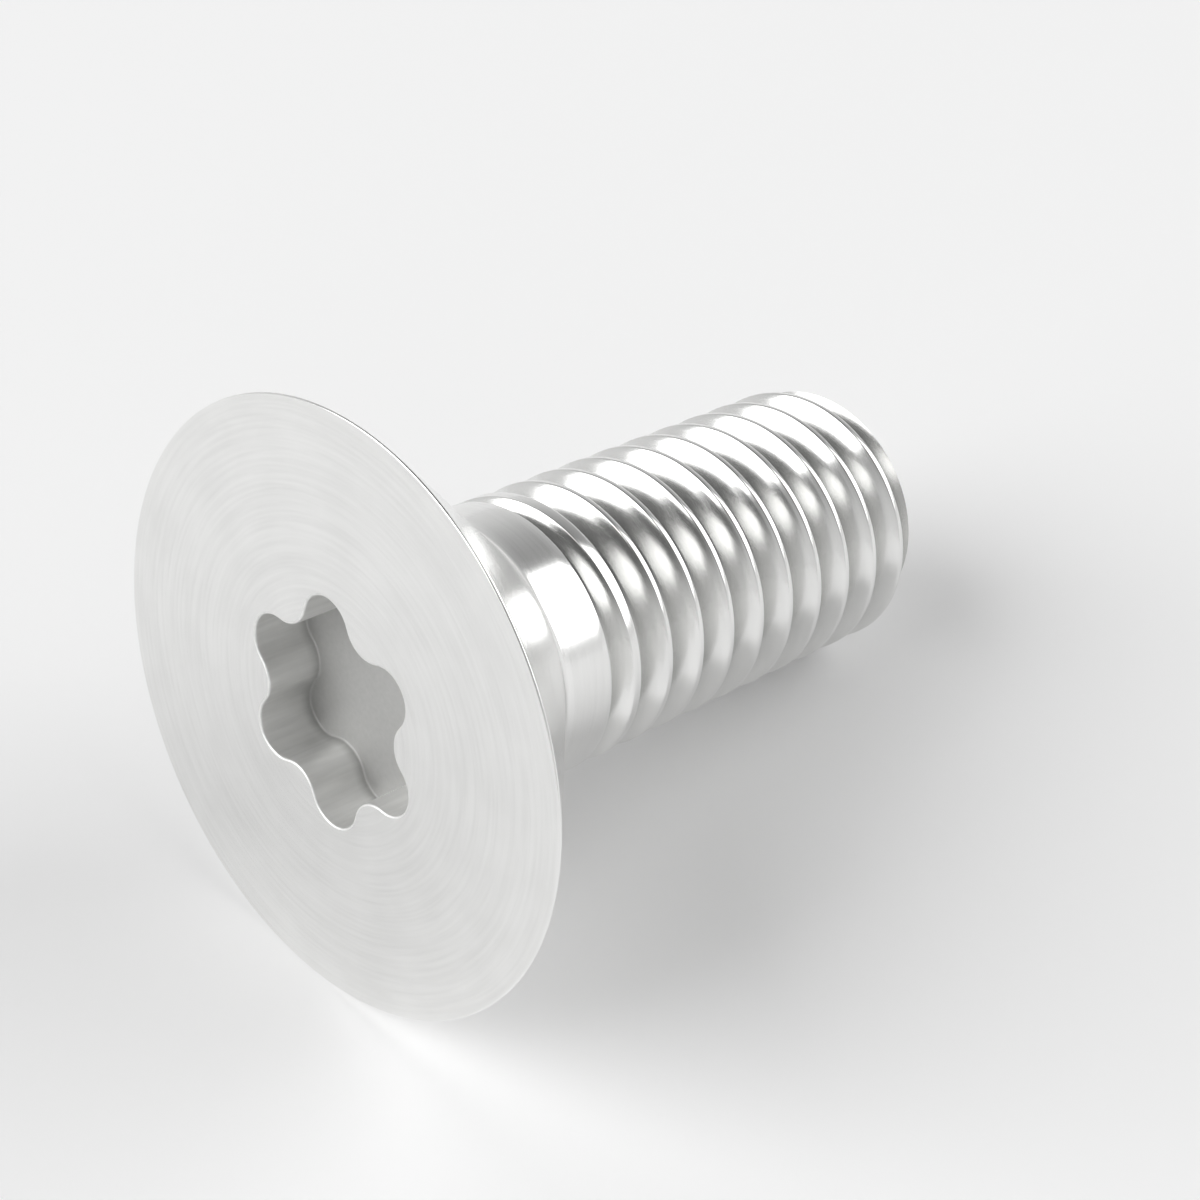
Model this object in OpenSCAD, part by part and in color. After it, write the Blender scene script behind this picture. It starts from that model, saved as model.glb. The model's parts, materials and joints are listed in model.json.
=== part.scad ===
// Countersunk machine screw with a six-lobe socket, one solid, in millimetres.
// It is drawn upright on its own axis, with the flat of the head at z = 0 and the tip at the top.
// It is then laid down as it comes to rest, on the rim of the head and the end of the shank.

/* [Head] */
// Diameter over the rim of the head
head_d = 17.3; // [13:0.1:22]
// Angle between opposite sides of the countersunk cone
cone_angle = 90; // [75:1:120]
// Rounding of the rim, between the flat and the cone
rim_r = 0.05; // [0.02:0.01:0.3]
// Fillet under the head, between the cone and the shank
neck_r = 0.3; // [0.1:0.05:1]

/* [Shank] */
// Diameter of the shank, over the crests of its thread
shank_d = 8; // [7.2:0.1:10]
// Length over all, from the flat of the head to the tip
overall_len = 20; // [14:0.5:60]
// Chamfer at the tip, the same along the axis and across it
tip_chamfer = 0.8; // [0.2:0.05:1.2]

/* [Socket] */
// Width over opposite lobes
lobe_span = 6.75; // [6.2:0.05:7.5]
// Width over opposite hollows
hollow_span = 5.05; // [4.4:0.05:5.5]
// Radius of the arc at the end of each lobe
lobe_r = 0.87; // [0.65:0.01:1.05]
// Depth of the socket, from the flat of the head to its floor
socket_depth = 1.75; // [1:0.05:3]

/* [Rest] */
// Turn of the screw about its own axis as it lies
roll_angle = 46; // [0:1:59]

/* [Hidden] */
$fn = 96;

// Chords along the rounding and the fillet
arc_chords = 6;
// Neighbouring arcs of the socket overlap by this much, so that they cross and don't only touch
arc_lap = 0.0001;
// The socket's cutter starts this far outside the flat
cut_proud = 1;

// Radii, and the lean of the cone from the axis
head_r = head_d / 2;
shank_r = shank_d / 2;
cone_lean = cone_angle / 2;

// The rim's arc touches the flat and the cone, and the head is widest on it
rim_centre = [head_r - rim_r, rim_r];
rim_on_cone = rim_centre + rim_r * [cos(cone_lean), sin(cone_lean)];

// The cone runs down to the shank, and the fillet's arc touches both
cone_end_z = rim_on_cone.y + (rim_on_cone.x - shank_r) / tan(cone_lean);
shank_start_z = cone_end_z + neck_r * tan(cone_lean / 2);
neck_centre = [shank_r + neck_r, shank_start_z];

// The shank ends in a chamfer
shank_end_z = overall_len - tip_chamfer;
tip_r = shank_r - tip_chamfer;

// Six lobes, each with a hollow beside it
lobe_count = 6;
lobe_step = 360 / lobe_count;
lobe_centre_r = lobe_span / 2 - lobe_r;
hollow_bottom_r = hollow_span / 2;
// The hollow's arc runs smoothly into the lobes on both sides of it
lapped_r = lobe_r - arc_lap;
lobe_reach = lobe_centre_r * cos(lobe_step / 2);
hollow_r = (lobe_centre_r ^ 2 + hollow_bottom_r ^ 2 - 2 * hollow_bottom_r * lobe_reach - lapped_r ^ 2)
    / (2 * (lapped_r - hollow_bottom_r + lobe_reach));
hollow_centre_r = hollow_bottom_r + hollow_r;
// Lobe and hollow meet on this circle
lobe_centre = [lobe_centre_r, 0];
hollow_centre = hollow_centre_r * [cos(lobe_step / 2), sin(lobe_step / 2)];
flank_r = norm(lobe_centre + (hollow_centre - lobe_centre) * lobe_r / (lobe_r + hollow_r));

// A line from the end of the shank, touching the rim's arc, is the floor on which the screw lies
rest_span = [rim_centre.x - shank_r, shank_end_z - rim_centre.y];
rest_angle = atan2(rest_span.x, rest_span.y) + asin(rim_r / norm(rest_span));
// Lowest point of the laid screw, and how far it reaches towards its head and its tip
rest_z = -shank_end_z * sin(rest_angle) - shank_r * cos(rest_angle);
head_reach = rim_centre.y * cos(rest_angle) - rim_centre.x * sin(rest_angle) - rim_r;
tip_reach = overall_len * cos(rest_angle) + tip_r * sin(rest_angle);

// Points along an arc, from one angle to the other
function arc(centre, r, from, to) = [
    for (i = [0 : arc_chords])
        let (a = from + (to - from) * i / arc_chords)
            centre + r * [cos(a), sin(a)]
];

// Half section of the head and shank, from the axis outwards
module section() {
    polygon(concat(
        [[0, 0]],
        arc(rim_centre, rim_r, -90, cone_lean),
        arc(neck_centre, neck_r, 180 + cone_lean, 180),
        [[shank_r, shank_end_z], [tip_r, overall_len], [0, overall_len]]
    ));
}

// Equal discs on a circle about the axis, one for each lobe
module ring_of_discs(centre, r) {
    for (i = [0 : lobe_count - 1])
        rotate(i * lobe_step)
            translate(centre)
                circle(r = r);
}

// Outline of the socket, round lobes with round hollows between them
module six_lobe() {
    difference() {
        union() {
            circle(r = flank_r);
            ring_of_discs(lobe_centre, lobe_r);
        }
        ring_of_discs(hollow_centre, hollow_r);
    }
}

// The screw upright on its own axis, with the flat of its head at z = 0
module upright_screw() {
    difference() {
        rotate_extrude()
            section();
        translate([0, 0, -cut_proud])
            linear_extrude(cut_proud + socket_depth)
                six_lobe();
    }
}

// The screw as it lies, with its box centred over the origin
module screw() {
    color("lightgray")
        translate([-(head_reach + tip_reach) / 2, 0, -rest_z])
            rotate([0, 90 + rest_angle, 0])
                rotate(roll_angle)
                    upright_screw();
}

screw();
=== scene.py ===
"""Looks of a countersunk machine screw with a six-lobe socket and a coarse right-hand thread.

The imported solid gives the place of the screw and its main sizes. The screw is modelled upright on its
own axis in millimetres, with the flat of its head at z = 0, and is then laid where the solid lies.
"""
import json
import logging
import math
from dataclasses import dataclass, field
from enum import Enum

import bmesh
import bpy
from mathutils import Matrix, Vector


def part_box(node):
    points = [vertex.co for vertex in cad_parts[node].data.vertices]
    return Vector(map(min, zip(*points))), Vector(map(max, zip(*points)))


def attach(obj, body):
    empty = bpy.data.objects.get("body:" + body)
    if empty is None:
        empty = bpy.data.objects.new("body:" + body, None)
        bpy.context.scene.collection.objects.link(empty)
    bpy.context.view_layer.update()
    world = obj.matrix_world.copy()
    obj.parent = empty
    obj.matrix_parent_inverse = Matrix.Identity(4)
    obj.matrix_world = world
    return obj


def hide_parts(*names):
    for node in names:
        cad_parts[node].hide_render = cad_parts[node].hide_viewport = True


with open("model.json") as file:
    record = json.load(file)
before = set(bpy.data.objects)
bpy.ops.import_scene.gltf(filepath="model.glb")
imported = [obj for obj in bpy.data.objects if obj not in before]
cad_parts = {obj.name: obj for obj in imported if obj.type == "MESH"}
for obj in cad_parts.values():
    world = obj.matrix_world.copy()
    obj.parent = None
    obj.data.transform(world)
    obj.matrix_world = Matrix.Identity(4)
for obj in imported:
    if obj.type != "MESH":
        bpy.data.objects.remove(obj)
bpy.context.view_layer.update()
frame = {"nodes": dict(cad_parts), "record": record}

LOG = logging.getLogger("screw")

MM = 0.001
FULL_TURN = 2.0 * math.pi
# Own axis of the screw, and the axis about which its half section's arcs turn from outwards to upwards
OWN_AXIS = (0.0, 0.0, 1.0)
SECTION_AXIS = (0.0, -1.0, 0.0)
# Turn of the screw about its own axis as it lies
ROLL = math.radians(46.0)
# Angle between the thread's flanks and the axis
FLANK_LEAN = math.radians(60.0)
# Angle between the chamfer at the tip and the axis
CHAMFER_LEAN = math.radians(45.0)
# Points closer than this are one point, in millimetres
WELD = 0.002
# Edges shorter than this are slivers, in millimetres
SLIVER = WELD / 10
# Edges that turn more than this stay sharp
SHARP_TURN = math.radians(35.0)

Colour = tuple[float, float, float, float]
Socket = bpy.types.NodeSocket

WHITE: Colour = (1.0, 1.0, 1.0, 1.0)


def radius_of(point: Vector) -> float:
    """Distance of a point from the screw's own axis."""
    return math.hypot(point.x, point.y)


def eased(share: float) -> float:
    """A share from 0 to 1 with a soft start and a soft end, held at 0 and 1 outside."""
    held = min(1.0, max(0.0, share))
    return held * held * (3.0 - 2.0 * held)


class Zone(Enum):
    """Stretches of the screw by the way they were worked, with the number of their slot."""

    PRESSED = 0
    ROLLED = 1
    PUNCHED = 2


class Grain(Enum):
    """Direction of the fine marks that the making leaves."""

    TURNED = "rings about the axis"
    PUNCHED = "streaks along the axis"


@dataclass(frozen=True)
class Place:
    """Where the screw lies in the row frame.

    Attributes:
        flat_centre: Middle of the head's flat, in metres.
        axis: Unit vector from the head to the tip.
        roll: Turn of the screw about its own axis, in radians.
    """

    flat_centre: Vector
    axis: Vector
    roll: float

    def turn(self) -> Matrix:
        """Rotation from the screw's own axes to the row's."""
        level = Vector((0.0, 1.0, 0.0))
        down = level.cross(self.axis)
        own = Matrix((down, level, self.axis)).transposed()
        return own @ Matrix.Rotation(self.roll, 3, "Z")

    def matrix(self) -> Matrix:
        """Transform from the screw's own millimetres to the row's metres."""
        laid = Matrix.Translation(self.flat_centre) @ self.turn().to_4x4()
        return laid @ Matrix.Scale(MM, 4)

    def at(self, height: float) -> Vector:
        """Point of the axis at a height above the flat in millimetres, in the row frame."""
        return self.flat_centre + self.axis * height * MM

    def height_of(self, point: Vector) -> float:
        """Height of a point of the row frame above the flat, along the axis, in millimetres."""
        return (point - self.flat_centre).dot(self.axis) / MM


@dataclass
class Pen:
    """Draws a chain of edges, from a start point on.

    Attributes:
        bm: Mesh that is drawn into.
        start: First point of the chain.
        verts: Points drawn so far.
    """

    bm: bmesh.types.BMesh
    start: tuple[float, float, float]
    verts: list[bmesh.types.BMVert] = field(default_factory=list)

    def __post_init__(self) -> None:
        """Sets the pen down."""
        self.verts.append(self.bm.verts.new(self.start))

    def line_to(self, x: float, y: float, z: float, pieces: int = 1) -> None:
        """Draws a straight line.

        Args:
            x: End of the line along X.
            y: End of the line along Y.
            z: End of the line along Z.
            pieces: Number of edges that the line is made of.
        """
        step = (Vector((x, y, z)) - self.verts[-1].co) / pieces
        for _ in range(pieces):
            made = bmesh.ops.extrude_vert_indiv(self.bm, verts=[self.verts[-1]])
            bmesh.ops.translate(self.bm, verts=made["verts"], vec=step)
            self.verts += made["verts"]

    def arc(self, centre: Vector, axis: tuple[float, float, float], angle: float, pieces: int) -> None:
        """Draws an arc.

        Args:
            centre: Middle of the arc.
            axis: Direction about which the arc turns.
            angle: How far it turns, in radians.
            pieces: Number of edges that the arc is made of.
        """
        for _ in range(pieces):
            made = bmesh.ops.spin(
                self.bm, geom=[self.verts[-1]], cent=centre, axis=axis, angle=angle / pieces, steps=1
            )
            self.verts += made["geom_last"]

    def chain(self) -> list[bmesh.types.BMVert | bmesh.types.BMEdge]:
        """The points and edges drawn so far."""
        edges = {edge for vert in self.verts for edge in vert.link_edges}
        return [*self.verts, *edges]


def ring_edges(bm: bmesh.types.BMesh, height: float) -> list[bmesh.types.BMEdge]:
    """Open edges of a mesh that lie at one height.

    Args:
        bm: Mesh to look in.
        height: Height of the edges along Z.

    Returns:
        The edges with one face or none and both ends at that height.
    """
    return [
        edge
        for edge in bm.edges
        if len(edge.link_faces) < 2 and all(abs(vert.co.z - height) < WELD for vert in edge.verts)
    ]


def grown(factor: float) -> Matrix:
    """Transform that grows a ring across the axis."""
    return Matrix.Diagonal((factor, factor, 1.0, 1.0))


def raised(rise: float) -> Matrix:
    """Transform that moves a ring up the axis."""
    return Matrix.Translation((0.0, 0.0, rise))


def extended(
    bm: bmesh.types.BMesh, ring: list[bmesh.types.BMEdge], move: Matrix
) -> list[bmesh.types.BMEdge]:
    """Grows a band of faces from a ring of edges.

    Args:
        bm: Mesh that holds the ring.
        ring: Edges that the band starts from.
        move: Transform from the ring to the band's other side.

    Returns:
        The ring at the band's other side.
    """
    made = bmesh.ops.extrude_edge_only(bm, edges=ring)["geom"]
    verts = [item for item in made if isinstance(item, bmesh.types.BMVert)]
    bmesh.ops.transform(bm, matrix=move, verts=verts)
    return [item for item in made if isinstance(item, bmesh.types.BMEdge)]


@dataclass(frozen=True)
class SixLobeSocket:
    """The driver's socket, six round lobes with round hollows between them, in millimetres.

    Attributes:
        lobe_span: Width over opposite lobes.
        hollow_span: Width over opposite hollows.
        lobe_r: Radius of the arc at the end of a lobe.
        depth: Depth of the floor under the head's flat.
        mouth_break: Rounding of the edge at the mouth.
        floor_fillet: Rounding between the wall and the floor.
        rim_growth: Outer size of the band of flat round the mouth, as a multiple of the outline.
        floor_growth: Inner size of the band of floor beside the wall, as a multiple of the outline.
        lobes: Number of lobes.
        lobe_pieces: Edges along half a lobe's arc.
        hollow_pieces: Edges along half a hollow's arc.
        mouth_pieces: Edges across the rounding at the mouth.
        fillet_pieces: Edges across the rounding at the floor.
    """

    lobe_span: float = 6.75
    hollow_span: float = 5.05
    lobe_r: float = 0.87
    depth: float = 1.75
    mouth_break: float = 0.06
    floor_fillet: float = 0.06
    rim_growth: float = 1.05
    floor_growth: float = 0.89
    lobes: int = 6
    lobe_pieces: int = 7
    hollow_pieces: int = 5
    mouth_pieces: int = 3
    fillet_pieces: int = 5

    @property
    def sides(self) -> int:
        """Edges round the whole outline."""
        return self.lobes * 2 * (self.lobe_pieces + self.hollow_pieces)

    def outline(self, bm: bmesh.types.BMesh, height: float) -> list[bmesh.types.BMEdge]:
        """Draws the outline, arc after arc.

        Args:
            bm: Mesh that is drawn into.
            height: Height of the outline.

        Returns:
            The edges of the closed outline.
        """
        half_step = math.pi / self.lobes
        lobe_at = self.lobe_span / 2 - self.lobe_r
        bottom = self.hollow_span / 2
        reach = lobe_at * math.cos(half_step)
        # The hollow's arc touches the arcs of the lobes on both sides of it
        hollow_r = (lobe_at**2 + bottom**2 - 2 * bottom * reach - self.lobe_r**2) / (
            2 * (self.lobe_r - bottom + reach)
        )
        hollow_at = bottom + hollow_r
        lean = math.atan2(
            hollow_at * math.sin(half_step), hollow_at * math.cos(half_step) - lobe_at
        )
        pen = Pen(bm, (self.lobe_span / 2, 0.0, height))
        for lobe in range(self.lobes):
            lobe_way, hollow_way, next_way = (
                Vector((math.cos(angle), math.sin(angle), 0.0))
                for angle in (half_step * (2 * lobe + part) for part in range(3))
            )
            pen.arc(lobe_way * lobe_at, OWN_AXIS, lean, self.lobe_pieces)
            pen.arc(hollow_way * hollow_at, OWN_AXIS, -2 * (lean - half_step), 2 * self.hollow_pieces)
            pen.arc(next_way * lobe_at, OWN_AXIS, lean, self.lobe_pieces)
        bmesh.ops.remove_doubles(bm, verts=pen.verts, dist=WELD)
        return list({edge for vert in pen.verts if vert.is_valid for edge in vert.link_edges})

    def cut(self, bm: bmesh.types.BMesh, border: list[bmesh.types.BMEdge]) -> None:
        """Makes the wall, the floor and the head's flat round the mouth.

        Args:
            bm: Mesh of the head, open inside its border.
            border: Ring of the head's flat that the mouth is joined to.
        """
        # The mouth is drawn below the flat and lifted to it once the two are joined
        mouth = self.outline(bm, -self.depth)
        # A narrow band beside each rounding keeps the faces past it flat
        rim = extended(bm, mouth, grown(self.rim_growth))
        bmesh.ops.bridge_loops(bm, edges=rim + border)
        lifted = {vert for edge in mouth + rim for vert in edge.verts}
        bmesh.ops.transform(bm, matrix=raised(self.depth), verts=list(lifted))
        band = 2 * self.floor_fillet
        ring = extended(bm, mouth, raised(band))
        ring = extended(bm, ring, raised(self.depth - 2 * band))
        corner = extended(bm, ring, raised(band))
        ring = extended(bm, corner, grown(self.floor_growth))
        bmesh.ops.contextual_create(bm, geom=ring)
        roundings = (
            (mouth, self.mouth_break, self.mouth_pieces),
            (corner, self.floor_fillet, self.fillet_pieces),
        )
        for edges, width, pieces in roundings:
            bmesh.ops.bevel(
                bm,
                geom=edges,
                offset=width,
                segments=pieces,
                profile=0.5,
                affect="EDGES",
                material=-1,
            )


@dataclass(frozen=True)
class CoarseThread:
    """A coarse metric thread, in millimetres.

    Attributes:
        pitch: Length of one turn along the axis.
        crest_round: Rounding at both edges of the crest, as rolling leaves it.
        full_after: Height above the end of the neck's fillet at which the groove has its full depth.
        neck: Height above that fillet at which the groove starts.
        flank_pieces: Edges down a flank of the groove.
        root_pieces: Edges round the bottom of the groove.
        round_pieces: Edges round an edge of the crest.
    """

    pitch: float = 1.25
    crest_round: float = 0.05
    full_after: float = 2.5
    neck: float = 0.9
    flank_pieces: int = 5
    root_pieces: int = 8
    round_pieces: int = 3

    @property
    def crest(self) -> float:
        """Width of the crest, an eighth of the pitch."""
        return self.pitch / 8

    @property
    def half_groove(self) -> float:
        """Half the width of the groove at the crests."""
        return (self.pitch - self.crest) / 2

    @property
    def root_r(self) -> float:
        """Radius of the groove's bottom, a sixth of the height of the thread's sharp triangle."""
        return self.pitch / 2 * math.tan(FLANK_LEAN) / 6

    def profile(self, bm: bmesh.types.BMesh, crest_r: float, height: float) -> Pen:
        """Draws one pitch of the half section, from the middle of a crest to the next.

        Args:
            bm: Mesh that is drawn into.
            crest_r: Radius of the crests.
            height: Height of the first crest's middle.

        Returns:
            The pen, with its chain drawn.
        """
        across, along = math.cos(FLANK_LEAN), math.sin(FLANK_LEAN)
        # The arc at the groove's bottom touches both flanks
        root_r = self.root_r
        root_at = crest_r - (self.half_groove - root_r / along) * math.tan(FLANK_LEAN)
        edge_at = crest_r - self.crest_round
        edge_up = self.half_groove + self.crest_round * math.tan(FLANK_LEAN / 2)
        edge_drop = edge_up - self.crest_round * along
        middle = height + self.pitch / 2
        pen = Pen(bm, (crest_r, 0.0, height))
        pen.line_to(crest_r, 0.0, middle - edge_up)
        pen.arc(Vector((edge_at, 0.0, middle - edge_up)), SECTION_AXIS, FLANK_LEAN, self.round_pieces)
        pen.line_to(root_at - root_r * across, 0.0, middle - root_r * along, self.flank_pieces)
        pen.arc(Vector((root_at, 0.0, middle)), SECTION_AXIS, -2 * FLANK_LEAN, self.root_pieces)
        pen.line_to(edge_at + self.crest_round * across, 0.0, middle + edge_drop, self.flank_pieces)
        pen.arc(Vector((edge_at, 0.0, middle + edge_up)), SECTION_AXIS, FLANK_LEAN, self.round_pieces)
        pen.line_to(crest_r, 0.0, height + self.pitch)
        return pen


@dataclass(frozen=True)
class Screw:
    """The whole screw, one piece of steel, in millimetres along its own axis.

    Attributes:
        head_r: Radius over the rim of the head.
        shank_r: Radius over the crests of the thread.
        shank_start: Height at which the shank leaves the fillet under the head.
        shank_end: Height at which the chamfer at the tip starts.
        length: Height of the tip.
        floor_turn: Angle round the axis of the side that lies on the floor, in radians.
        rim_round: Rounding of the head's rim.
        neck_fillet: Fillet between the cone and the shank.
        cone_lean: Angle between the cone and the axis, in radians.
        tip_round: Rounding between the chamfer and the flat of the tip.
        border_r: Radius of the ring on the head's flat that the socket is joined to.
        plain_start: Length of the shank that is made with the head.
        fillet_pieces: Edges across the fillet under the head.
        cone_pieces: Edges down the cone.
        rim_pieces: Edges across the rounding of the rim.
        tip_pieces: Edges across the rounding of the tip.
        flat_pieces: Edges from the outside of a flat inwards, on the head and on the tip.
        socket: The driver's socket.
        thread: The thread on the shank.
    """

    head_r: float
    shank_r: float
    shank_start: float
    shank_end: float
    length: float
    floor_turn: float
    rim_round: float = 0.05
    neck_fillet: float = 0.3
    cone_lean: float = math.radians(45.0)
    tip_round: float = 0.05
    border_r: float = 4.4
    plain_start: float = 0.2
    fillet_pieces: int = 5
    cone_pieces: int = 8
    rim_pieces: int = 8
    tip_pieces: int = 3
    flat_pieces: int = 4
    socket: SixLobeSocket = SixLobeSocket()
    thread: CoarseThread = CoarseThread()

    @property
    def sides(self) -> int:
        """Edges round the axis, as many as the socket's outline has."""
        return self.socket.sides

    @property
    def cone_sum(self) -> float:
        """Radius and height of a point on the chamfer's cone, added."""
        return self.shank_r + self.shank_end

    @property
    def neck_join(self) -> float:
        """Height at which the thread's mesh meets the head's."""
        return self.shank_start + self.plain_start

    @property
    def tip_join(self) -> float:
        """Height at which the thread's mesh meets the tip's, past the end of the groove."""
        return self.length - self.tip_round / 2

    def turned(self, pen: Pen) -> None:
        """Spins a chain once round the axis."""
        bmesh.ops.spin(
            pen.bm, geom=pen.chain(), axis=OWN_AXIS, angle=FULL_TURN, steps=self.sides, use_merge=True
        )

    def roll_thread(self) -> bmesh.types.BMesh:
        """Makes the threaded shank, with its run-out at the neck and its chamfer at the tip.

        Returns:
            The mesh of the threaded shank, open at both ends.
        """
        bm = bmesh.new()
        pitch = self.thread.pitch
        # The last crest ends at the chamfer on the side that lies on the floor
        last = self.shank_end - self.thread.crest / 2 - pitch * self.floor_turn / FULL_TURN
        turns = math.ceil((last - self.neck_join) / pitch) + 1
        first = last - turns * pitch
        copies = math.ceil((self.tip_join - first) / pitch)
        pen = self.thread.profile(bm, self.shank_r, first)
        # One turn is spun up the axis, and the others are copies of it
        rise = (0.0, 0.0, pitch / self.sides)
        bmesh.ops.spin(
            bm, geom=pen.chain(), axis=OWN_AXIS, dvec=rise, angle=FULL_TURN, steps=self.sides
        )
        bmesh.ops.spin(
            bm,
            geom=[*bm.verts, *bm.edges, *bm.faces],
            axis=OWN_AXIS,
            dvec=(0.0, 0.0, pitch),
            steps=copies,
            use_duplicate=True,
        )
        bmesh.ops.remove_doubles(bm, verts=bm.verts[:], dist=WELD)
        self.run_out(bm, first + pitch / 2)
        self.chamfer(bm)
        for vert in bm.verts:
            vert.co.z = min(self.tip_join, max(self.neck_join, vert.co.z))
            proud = radius_of(vert.co) / (self.cone_sum - vert.co.z)
            if proud > 1.0:
                vert.co.xy /= proud
        bmesh.ops.remove_doubles(bm, verts=bm.verts[:], dist=WELD)
        return bm

    def run_out(self, bm: bmesh.types.BMesh, first_root: float) -> None:
        """Lets the groove rise out of the shank towards the neck, as a tool that is drawn back leaves it.

        Args:
            bm: Mesh of the thread alone.
            first_root: Height of the groove's bottom where the thread's spin starts.
        """
        pitch = self.thread.pitch
        start = self.shank_start + self.thread.neck
        full = self.shank_start + self.thread.full_after
        for vert in bm.verts:
            turn = math.atan2(vert.co.y, vert.co.x) / FULL_TURN % 1.0
            offset = (vert.co.z - first_root) / pitch - turn
            across = (offset - round(offset)) * pitch
            if abs(across) > self.thread.half_groove + self.thread.crest_round:
                continue
            root = vert.co.z - across
            kept = eased((root - start) / (full - start))
            depth = self.shank_r - radius_of(vert.co)
            vert.co.xy *= (self.shank_r - depth * kept) / (self.shank_r - depth)
            vert.co.z = root + across * kept

    def chamfer(self, bm: bmesh.types.BMesh) -> None:
        """Cuts the thread's faces along the cone of the chamfer.

        The cone leans at 45 degrees, so it is a plane once each point is lifted by its radius.

        Args:
            bm: Mesh of the thread alone.
        """
        for vert in bm.verts:
            vert.co.z += radius_of(vert.co)
        bmesh.ops.bisect_plane(
            bm,
            geom=[*bm.verts, *bm.edges, *bm.faces],
            dist=WELD / 2,
            plane_co=(0.0, 0.0, self.cone_sum),
            plane_no=OWN_AXIS,
        )
        for vert in bm.verts:
            vert.co.z -= radius_of(vert.co)

    def form_head(self) -> bmesh.types.BMesh:
        """Makes the neck, the cone, the rim, the flat and the socket.

        Returns:
            The mesh of the head, open at the neck.
        """
        bm = bmesh.new()
        fillet = Vector((self.shank_r + self.neck_fillet, 0.0, self.shank_start))
        rim = Vector((self.head_r - self.rim_round, 0.0, self.rim_round))
        outwards = Vector((math.cos(self.cone_lean), 0.0, math.sin(self.cone_lean)))
        along_cone = Vector((math.sin(self.cone_lean), 0.0, -math.cos(self.cone_lean)))
        band = 2 * self.rim_round
        cone_foot = fillet - outwards * self.neck_fillet + along_cone * self.neck_fillet
        cone_edge = rim + outwards * self.rim_round - along_cone * band
        pen = Pen(bm, (self.shank_r, 0.0, self.neck_join))
        pen.line_to(self.shank_r, 0.0, self.shank_start)
        pen.arc(fillet, SECTION_AXIS, self.cone_lean, self.fillet_pieces)
        pen.line_to(*cone_foot)
        pen.line_to(*cone_edge, pieces=self.cone_pieces)
        pen.line_to(*(cone_edge + along_cone * band))
        pen.arc(rim, SECTION_AXIS, -self.cone_lean - FULL_TURN / 4, self.rim_pieces)
        pen.line_to(rim.x - band, 0.0, 0.0)
        pen.line_to(self.border_r, 0.0, 0.0, pieces=self.flat_pieces)
        self.turned(pen)
        self.socket.cut(bm, ring_edges(bm, 0.0))
        return bm

    def form_tip(self) -> bmesh.types.BMesh:
        """Makes the end of the chamfer and the flat of the tip.

        Returns:
            The mesh of the tip, open towards the thread.
        """
        bm = bmesh.new()
        start_r = self.cone_sum - self.tip_join
        corner_r = self.cone_sum - self.length
        reach = self.tip_round * math.tan(CHAMFER_LEAN / 2)
        slant = reach * math.sin(CHAMFER_LEAN)
        centre = Vector((corner_r - reach, 0.0, self.length - self.tip_round))
        pen = Pen(bm, (start_r, 0.0, self.tip_join))
        pen.line_to(corner_r + slant, 0.0, self.length - slant)
        pen.arc(centre, SECTION_AXIS, CHAMFER_LEAN, self.tip_pieces)
        pen.line_to(centre.x - 2 * self.tip_round, 0.0, self.length)
        pen.line_to(0.0, 0.0, self.length, pieces=self.flat_pieces)
        self.turned(pen)
        return bm

    def zone_at(self, point: Vector) -> Zone:
        """Stretch of the screw that a point of its surface lies on.

        Args:
            point: The point, on the screw's own axes.

        Returns:
            The stretch. The head's outside, the neck and the flat of the tip are pressed.
        """
        if radius_of(point) < self.border_r and WELD < point.z <= self.socket.depth + WELD:
            return Zone.PUNCHED
        if self.neck_join < point.z < self.tip_join:
            return Zone.ROLLED
        return Zone.PRESSED

    def make(self, place: Place, name: str) -> bpy.types.Object:
        """Models the screw and lays it in its place.

        Args:
            place: Where the screw lies.
            name: Name of the piece.

        Returns:
            The finished piece, with no material yet.
        """
        mesh = bpy.data.meshes.new(name)
        bm = bmesh.new()
        for part in (self.form_head(), self.roll_thread(), self.form_tip()):
            part.to_mesh(mesh)
            part.free()
            bm.from_mesh(mesh)
        bmesh.ops.remove_doubles(bm, verts=bm.verts[:], dist=WELD)
        bmesh.ops.dissolve_degenerate(bm, edges=bm.edges[:], dist=SLIVER)
        bmesh.ops.recalc_face_normals(bm, faces=bm.faces[:])
        for face in bm.faces:
            face.material_index = self.zone_at(face.calc_center_median()).value
            face.smooth = True
        for edge in bm.edges:
            edge.smooth = edge.calc_face_angle(0.0) < SHARP_TURN
        open_edges = sum(not edge.is_manifold for edge in bm.edges)
        bmesh.ops.transform(bm, matrix=place.matrix(), verts=bm.verts[:])
        bm.to_mesh(mesh)
        bm.free()
        piece = bpy.data.objects.new(name, mesh)
        bpy.context.scene.collection.objects.link(piece)
        mesh.calc_loop_triangles()
        LOG.info("%s: %d triangles, %d open edges", name, len(mesh.loop_triangles), open_edges)
        return piece


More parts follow.
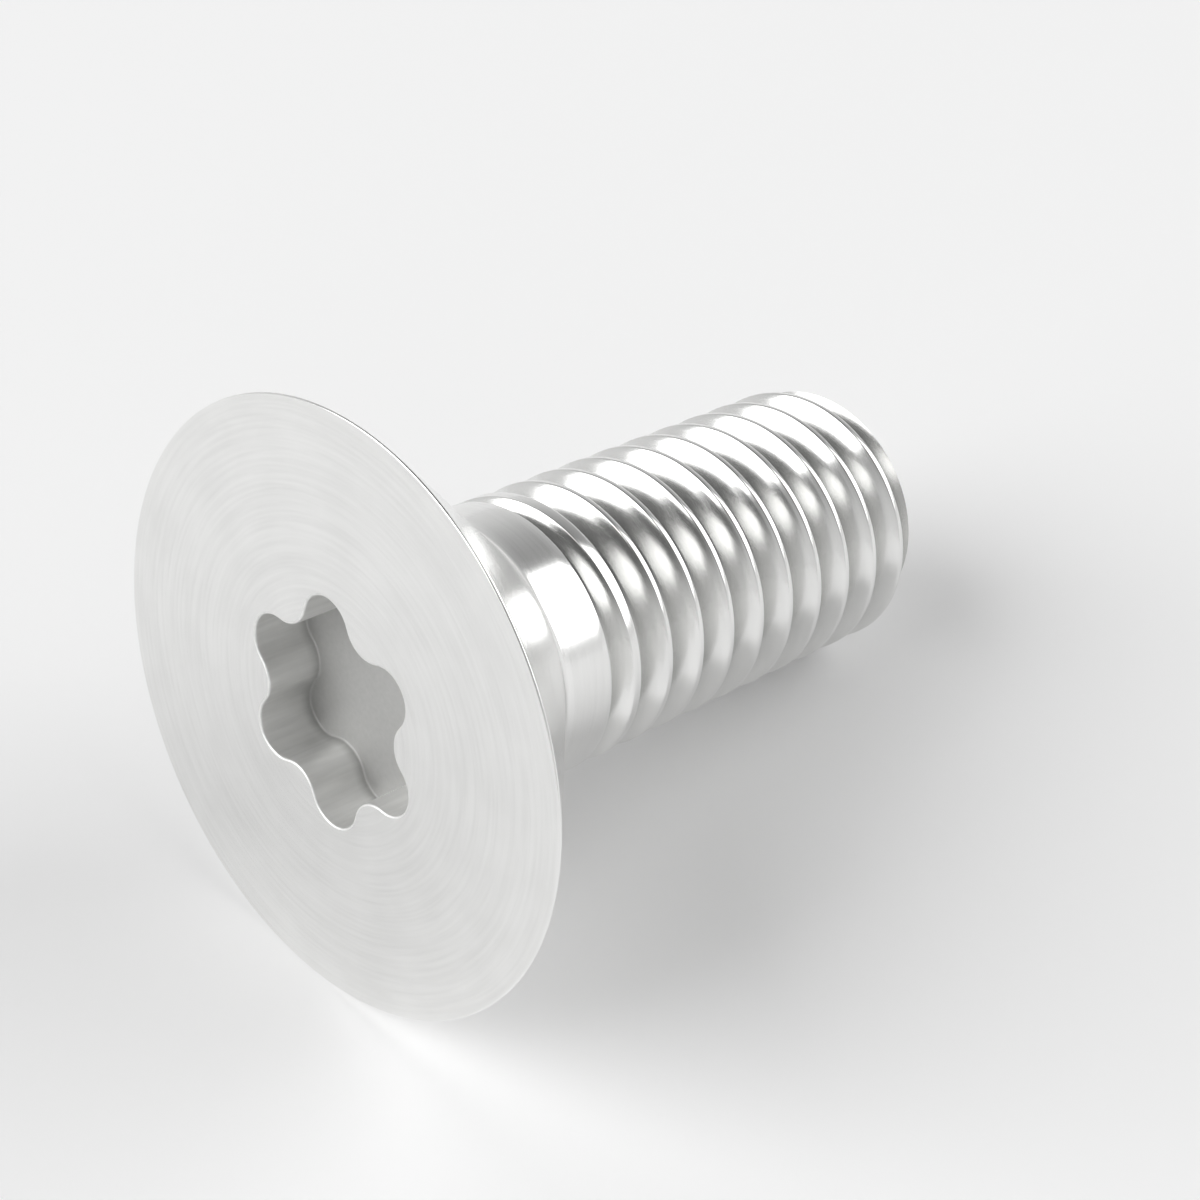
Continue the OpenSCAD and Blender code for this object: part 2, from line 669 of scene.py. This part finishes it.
@dataclass(frozen=True)
class Board:
    """A node tree with short ways to add to it.

    Attributes:
        tree: The tree that nodes are added to.
    """

    tree: bpy.types.NodeTree

    def node(self, kind: str, **settings: object) -> bpy.types.Node:
        """Adds a node.

        Args:
            kind: Type of the node.
            settings: Values of the node's own properties.

        Returns:
            The new node.
        """
        made = self.tree.nodes.new(kind)
        for name, value in settings.items():
            setattr(made, name, value)
        return made

    def feed(self, target: Socket, value: Socket | float | tuple[float, ...]) -> None:
        """Links a socket to another one, or sets its number or colour."""
        if isinstance(value, bpy.types.NodeSocket):
            self.tree.links.new(value, target)
        else:
            target.default_value = value

    def math(self, operation: str, *values: Socket | float) -> Socket:
        """Works out a number.

        Args:
            operation: Name of the operation.
            values: What it works on.

        Returns:
            The result.
        """
        made = self.node("ShaderNodeMath", operation=operation)
        for target, value in zip(made.inputs, values, strict=False):
            self.feed(target, value)
        return made.outputs[0]

    def spread(self, value: Socket, low: float, high: float, to_low: float, to_high: float) -> Socket:
        """Stretches a number from one range to another, held at its ends.

        Args:
            value: The number.
            low: Start of its range.
            high: End of its range.
            to_low: Result at the start.
            to_high: Result at the end.

        Returns:
            The stretched number.
        """
        made = self.node("ShaderNodeMapRange", interpolation_type="SMOOTHSTEP")
        for target, number in zip(made.inputs, (value, low, high, to_low, to_high), strict=False):
            self.feed(target, number)
        return made.outputs["Result"]

    def vector(self, x: Socket | float, y: Socket | float, z: Socket | float) -> Socket:
        """A vector from three numbers."""
        made = self.node("ShaderNodeCombineXYZ")
        for target, value in zip(made.inputs, (x, y, z), strict=True):
            self.feed(target, value)
        return made.outputs[0]

    def noise(self, vector: Socket, scale: float, detail: float = 2.0) -> Socket:
        """Soft noise from 0 to 1.

        Args:
            vector: Where it is read.
            scale: Spots for each unit of the vector.
            detail: Number of finer layers.

        Returns:
            The noise.
        """
        made = self.node("ShaderNodeTexNoise")
        self.feed(made.inputs["Vector"], vector)
        self.feed(made.inputs["Scale"], scale)
        self.feed(made.inputs["Detail"], detail)
        return made.outputs["Fac"]

    def mixed(self, share: Socket, first: Socket | Colour, second: Socket | Colour) -> Socket:
        """A colour between two.

        Args:
            share: How much of the second colour there is.
            first: Colour at 0.
            second: Colour at 1.

        Returns:
            The mixed colour.
        """
        made = self.node("ShaderNodeMix", data_type="RGBA")
        self.feed(made.inputs["Factor"], share)
        self.feed(made.inputs["A"], first)
        self.feed(made.inputs["B"], second)
        return made.outputs["Result"]


@dataclass(frozen=True)
class OwnPoint:
    """A shaded point on the screw's own axes, in millimetres.

    Attributes:
        x: First coordinate across the axis.
        y: Second coordinate across the axis.
        height: Height above the head's flat.
        radius: Distance from the axis.
        point: The whole point as a vector.
    """

    x: Socket
    y: Socket
    height: Socket
    radius: Socket
    point: Socket

    @classmethod
    def on(cls, board: Board, place: Place) -> "OwnPoint":
        """Reads the point from the piece's coordinates.

        Args:
            board: Node tree of the finish.
            place: Where the screw lies.

        Returns:
            The point.
        """
        coordinates = board.node("ShaderNodeTexCoord").outputs["Object"]
        mapping = board.node("ShaderNodeMapping", vector_type="TEXTURE")
        board.feed(mapping.inputs["Vector"], coordinates)
        board.feed(mapping.inputs["Location"], place.flat_centre)
        board.feed(mapping.inputs["Rotation"], place.turn().to_euler())
        board.feed(mapping.inputs["Scale"], (MM, MM, MM))
        parts = board.node("ShaderNodeSeparateXYZ")
        board.feed(parts.inputs[0], mapping.outputs[0])
        x, y, height = parts.outputs
        squares = board.math("ADD", board.math("MULTIPLY", x, x), board.math("MULTIPLY", y, y))
        return cls(x, y, height, board.math("SQRT", squares), mapping.outputs[0])


@dataclass(frozen=True)
class SteelFinish:
    """Bare stainless steel as one way of working leaves it, with painted shade, partly residue, in its
    recesses.

    Attributes:
        name: Name of the material.
        grain: Direction of its fine marks.
        pale: Colour where it is cleanest and out of the painted shade.
        dull_and_shaded: Colour where it is duller, and where painted shade darkens the recesses.
        smooth: Roughness where it is cleanest.
        rough: Roughness where it is duller.
        marks: Fine marks for each millimetre.
        mark_depth: Depth of the marks, in metres.
        patchy: How far clouds and marks can take the steel towards its duller state.
        painted_shade_span: Range of the radius or height over which the painted shade, partly residue, in
            the recesses gives way to clean steel.
        by_radius: Whether that range is of the radius, and else of the height.
        breaks: Breaks in a mark for each millimetre of its length.
        clouds: Clouds for each millimetre.
        layers: Finer layers in the marks and in the clouds.
        cloud_share: Share of the clouds in what makes the steel uneven. The marks are the rest.
        uneven_range: Range of the two together over which the steel goes from dull to clean.
        specks: Fine specks for each millimetre.
        speck_range: Range of the specks over which they go from smoother to rougher.
        speck_dulling: How far they shift the roughness at the two ends of that range.
        speck_depth: Depth of the specks, as a share of that of the marks.
    """

    name: str
    grain: Grain
    pale: Colour
    dull_and_shaded: Colour
    smooth: float
    rough: float
    marks: float
    mark_depth: float
    patchy: float
    painted_shade_span: tuple[float, float]
    by_radius: bool
    breaks: float
    clouds: float = 0.55
    layers: float = 3.0
    cloud_share: float = 0.45
    uneven_range: tuple[float, float] = (0.25, 0.75)
    specks: float = 9.0
    speck_range: tuple[float, float] = (0.35, 0.75)
    speck_dulling: tuple[float, float] = (-0.08, 0.12)
    speck_depth: float = 0.15

    def marks_at(self, board: Board, own: OwnPoint) -> Socket:
        """Where the fine marks are read, stretched along their direction.

        Args:
            board: Node tree of the finish.
            own: The shaded point.

        Returns:
            The stretched vector.
        """
        if self.grain is Grain.TURNED:
            along = board.math("SUBTRACT", own.height, own.radius)
            around = (board.math("MULTIPLY", part, self.breaks) for part in (own.x, own.y))
            return board.vector(board.math("MULTIPLY", along, self.marks), *around)
        across = (board.math("MULTIPLY", part, self.marks) for part in (own.x, own.y))
        return board.vector(*across, board.math("MULTIPLY", own.height, self.breaks))

    def material(self, place: Place) -> bpy.types.Material:
        """Makes the material.

        Args:
            place: Where the screw lies.

        Returns:
            The new material.
        """
        made = bpy.data.materials.new(self.name)
        made.use_nodes = True
        board = Board(made.node_tree)
        shader = made.node_tree.nodes["Principled BSDF"]
        own = OwnPoint.on(board, place)
        fine = board.noise(self.marks_at(board, own), 1.0, self.layers)
        cloud = board.noise(own.point, self.clouds, self.layers)
        speck = board.noise(own.point, self.specks)
        scale = own.radius if self.by_radius else own.height
        # Painted shade, partly residue: darker in the recesses, by radius or by height
        unshaded = board.spread(scale, *self.painted_shade_span, 0.0, 1.0)
        clouded = board.math("MULTIPLY", cloud, self.cloud_share)
        marked = board.math("MULTIPLY", fine, 1.0 - self.cloud_share)
        uneven = board.math("ADD", clouded, marked)
        kept = board.spread(uneven, *self.uneven_range, 1.0 - self.patchy, 1.0)
        # Random tone times painted shade gives the share of the pale colour
        shade_and_tone = board.math("MULTIPLY", unshaded, kept)
        board.feed(shader.inputs["Base Color"], board.mixed(shade_and_tone, self.dull_and_shaded, self.pale))
        speckled = board.spread(speck, *self.speck_range, *self.speck_dulling)
        dull = board.math("ADD", board.math("SUBTRACT", 1.0, shade_and_tone), speckled)
        board.feed(shader.inputs["Roughness"], board.spread(dull, 0.0, 1.0, self.smooth, self.rough))
        shader.inputs["Metallic"].default_value = 1.0
        bump = board.node("ShaderNodeBump")
        bump.inputs["Strength"].default_value = 1.0
        bump.inputs["Distance"].default_value = self.mark_depth
        relief = board.math("ADD", fine, board.math("MULTIPLY", speck, self.speck_depth))
        board.feed(bump.inputs["Height"], relief)
        board.feed(shader.inputs["Normal"], bump.outputs[0])
        return made


FINISHES: dict[Zone, SteelFinish] = {
    Zone.PRESSED: SteelFinish(
        name="pressed_steel",
        grain=Grain.TURNED,
        pale=(0.9, 0.9, 0.89, 1.0),
        dull_and_shaded=(0.7, 0.7, 0.69, 1.0),
        smooth=0.16,
        rough=0.32,
        marks=9.0,
        mark_depth=4.0e-6,
        patchy=0.45,
        # The whole screw lies above this range, so the head has no painted shade anywhere
        painted_shade_span=(-8.0, -2.0),
        by_radius=False,
        breaks=0.35,
    ),
    Zone.ROLLED: SteelFinish(
        name="rolled_steel",
        grain=Grain.TURNED,
        pale=(0.86, 0.86, 0.85, 1.0),
        dull_and_shaded=(0.58, 0.58, 0.57, 1.0),
        smooth=0.16,
        rough=0.265,
        marks=9.0,
        mark_depth=1.2e-6,
        patchy=0.25,
        # Painted shade, partly residue: darker towards the bottoms of the groove
        painted_shade_span=(3.1, 3.95),
        by_radius=True,
        breaks=0.35,
    ),
    Zone.PUNCHED: SteelFinish(
        name="punched_steel",
        grain=Grain.PUNCHED,
        # Painted light and shade: the walls paler than the head's flat, and darker towards the socket's
        # floor, partly residue
        pale=(0.92, 0.92, 0.91, 1.0),
        dull_and_shaded=(0.41, 0.41, 0.4, 1.0),
        smooth=0.52,
        rough=0.7,
        marks=6.0,
        mark_depth=3.0e-6,
        patchy=0.28,
        painted_shade_span=(1.95, 1.35),
        by_radius=False,
        breaks=0.5,
    ),
}


@dataclass(frozen=True)
class Softbox:
    """A square lamp that shines at the screw.

    Attributes:
        name: Name of the lamp.
        azimuth: Where it stands round the screw, in degrees, 0 in front along -Y.
        elevation: How high it stands, in degrees.
        distance: How far it stands, in metres.
        size: Side of its square, in metres.
        power: Its power, in watts.
    """

    name: str
    azimuth: float
    elevation: float
    distance: float
    size: float
    power: float

    def hang(self, aim: Vector) -> None:
        """Puts up the lamp, turned to a point."""
        lamp = bpy.data.lights.new(self.name, "AREA")
        lamp.shape = "SQUARE"
        lamp.size = self.size
        lamp.energy = self.power
        stand(bpy.data.objects.new(self.name, lamp), aim, self.azimuth, self.elevation, self.distance)


def stand(thing: bpy.types.Object, aim: Vector, azimuth: float, elevation: float, distance: float) -> None:
    """Stands a lamp or a camera round a point and turns it to it.

    Args:
        thing: The lamp or the camera.
        aim: The point.
        azimuth: Degrees round the point, 0 in front along -Y.
        elevation: Degrees above the point.
        distance: Metres from the point.
    """
    turn, rise = math.radians(azimuth), math.radians(elevation)
    back = Vector((math.sin(turn) * math.cos(rise), -math.cos(turn) * math.cos(rise), math.sin(rise)))
    thing.location = aim + back * distance
    thing.rotation_euler = back.to_track_quat("Z", "Y").to_euler()
    bpy.context.scene.collection.objects.link(thing)


@dataclass(frozen=True)
class Studio:
    """A pale floor, a soft sky, softboxes and the camera.

    Attributes:
        floor_r: Radius of the floor, in metres.
        floor_sides: Edges round the floor.
        floor_tone: Colour of the floor.
        floor_rough: Roughness of the floor.
        floor_gloss: Specular level of the floor.
        horizon: Brightness of the sky at the horizon.
        zenith: Brightness of the sky overhead.
        softboxes: The lamps.
        azimuth: Where the camera stands round the screw, in degrees.
        elevation: How high it stands, in degrees.
        distance: How far it stands, in metres.
        lens: Its focal length, in millimetres.
        sensor: Width of its sensor, in millimetres.
        nearest: Distance at which it starts to see, in metres.
    """

    floor_r: float = 4.0
    floor_sides: int = 96
    floor_tone: Colour = (0.96, 0.96, 0.96, 1.0)
    floor_rough: float = 0.9
    floor_gloss: float = 0.2
    horizon: float = 0.75
    zenith: float = 0.1
    softboxes: tuple[Softbox, ...] = (
        Softbox("key_softbox", azimuth=-120.0, elevation=40.0, distance=2.5, size=2.3, power=50.0),
        Softbox("side_softbox", azimuth=58.0, elevation=34.0, distance=2.5, size=2.2, power=31.0),
    )
    azimuth: float = -43.31
    elevation: float = 44.5
    distance: float = 0.07175
    lens: float = 75.0
    sensor: float = 36.0
    nearest: float = 0.005

    def lay_floor(self) -> None:
        """Lays the floor under the screw."""
        bm = bmesh.new()
        bmesh.ops.create_circle(bm, cap_ends=True, segments=self.floor_sides, radius=self.floor_r)
        mesh = bpy.data.meshes.new("floor")
        bm.to_mesh(mesh)
        bm.free()
        floor = bpy.data.objects.new("floor", mesh)
        bpy.context.scene.collection.objects.link(floor)
        made = bpy.data.materials.new("pale_floor")
        made.use_nodes = True
        shader = made.node_tree.nodes["Principled BSDF"]
        shader.inputs["Base Color"].default_value = self.floor_tone
        shader.inputs["Roughness"].default_value = self.floor_rough
        shader.inputs["Specular IOR Level"].default_value = self.floor_gloss
        mesh.materials.append(made)

    def light_sky(self) -> None:
        """Lights the sky, pale at the horizon and darker overhead."""
        world = bpy.data.worlds.new("soft_sky")
        world.use_nodes = True
        bpy.context.scene.world = world
        board = Board(world.node_tree)
        direction = board.node("ShaderNodeTexCoord").outputs["Generated"]
        parts = board.node("ShaderNodeSeparateXYZ")
        board.feed(parts.inputs[0], direction)
        strength = board.spread(parts.outputs[2], 0.0, 1.0, self.horizon, self.zenith)
        background = world.node_tree.nodes["Background"]
        board.feed(background.inputs["Strength"], strength)
        background.inputs["Color"].default_value = WHITE

    def set_up(self, aim: Vector) -> None:
        """Sets up the whole studio.

        Args:
            aim: Point that the lamps and the camera are turned to.
        """
        self.lay_floor()
        self.light_sky()
        for softbox in self.softboxes:
            softbox.hang(aim)
        lens = bpy.data.cameras.new("camera")
        lens.lens = self.lens
        lens.sensor_width = self.sensor
        lens.clip_start = self.nearest
        camera = bpy.data.objects.new("camera", lens)
        stand(camera, aim, self.azimuth, self.elevation, self.distance)
        bpy.context.scene.camera = camera
        bpy.context.scene.view_settings.view_transform = "Standard"
        LOG.info("studio: %d softboxes", len(self.softboxes))


def measured() -> tuple[Place, Screw]:
    """Reads the screw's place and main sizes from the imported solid.

    Returns:
        The place and the screw.
    """
    mounts = {mount["name"]: mount for mount in frame["record"]["mounts"]}
    shank = mounts["threaded_shank"]
    flat_centre = Vector(mounts["drive_socket"]["pos_m"])
    place = Place(flat_centre, Vector(shank["axis"]).normalized(), ROLL)
    solid = frame["nodes"]["screw"].data
    low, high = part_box("screw")
    middle = place.height_of(Vector(shank["pos_m"]))
    half = shank["dims"]["length_mm"] / 2
    screw = Screw(
        head_r=(high.y - low.y) / 2 / MM,
        shank_r=shank["dims"]["r_mm"],
        shank_start=middle - half,
        shank_end=middle + half,
        length=max(place.height_of(vert.co) for vert in solid.vertices),
        floor_turn=-place.roll,
    )
    return place, screw


def main() -> None:
    """Builds the screw and the studio."""
    logging.basicConfig(level=logging.INFO, format="%(message)s")
    place, screw = measured()
    piece = screw.make(place, "threaded_screw")
    for zone in Zone:
        piece.data.materials.append(FINISHES[zone].material(place))
    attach(piece, "root")
    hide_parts("screw")
    Studio().set_up(place.at(screw.length / 2))


if __name__ == "__main__":
    main()
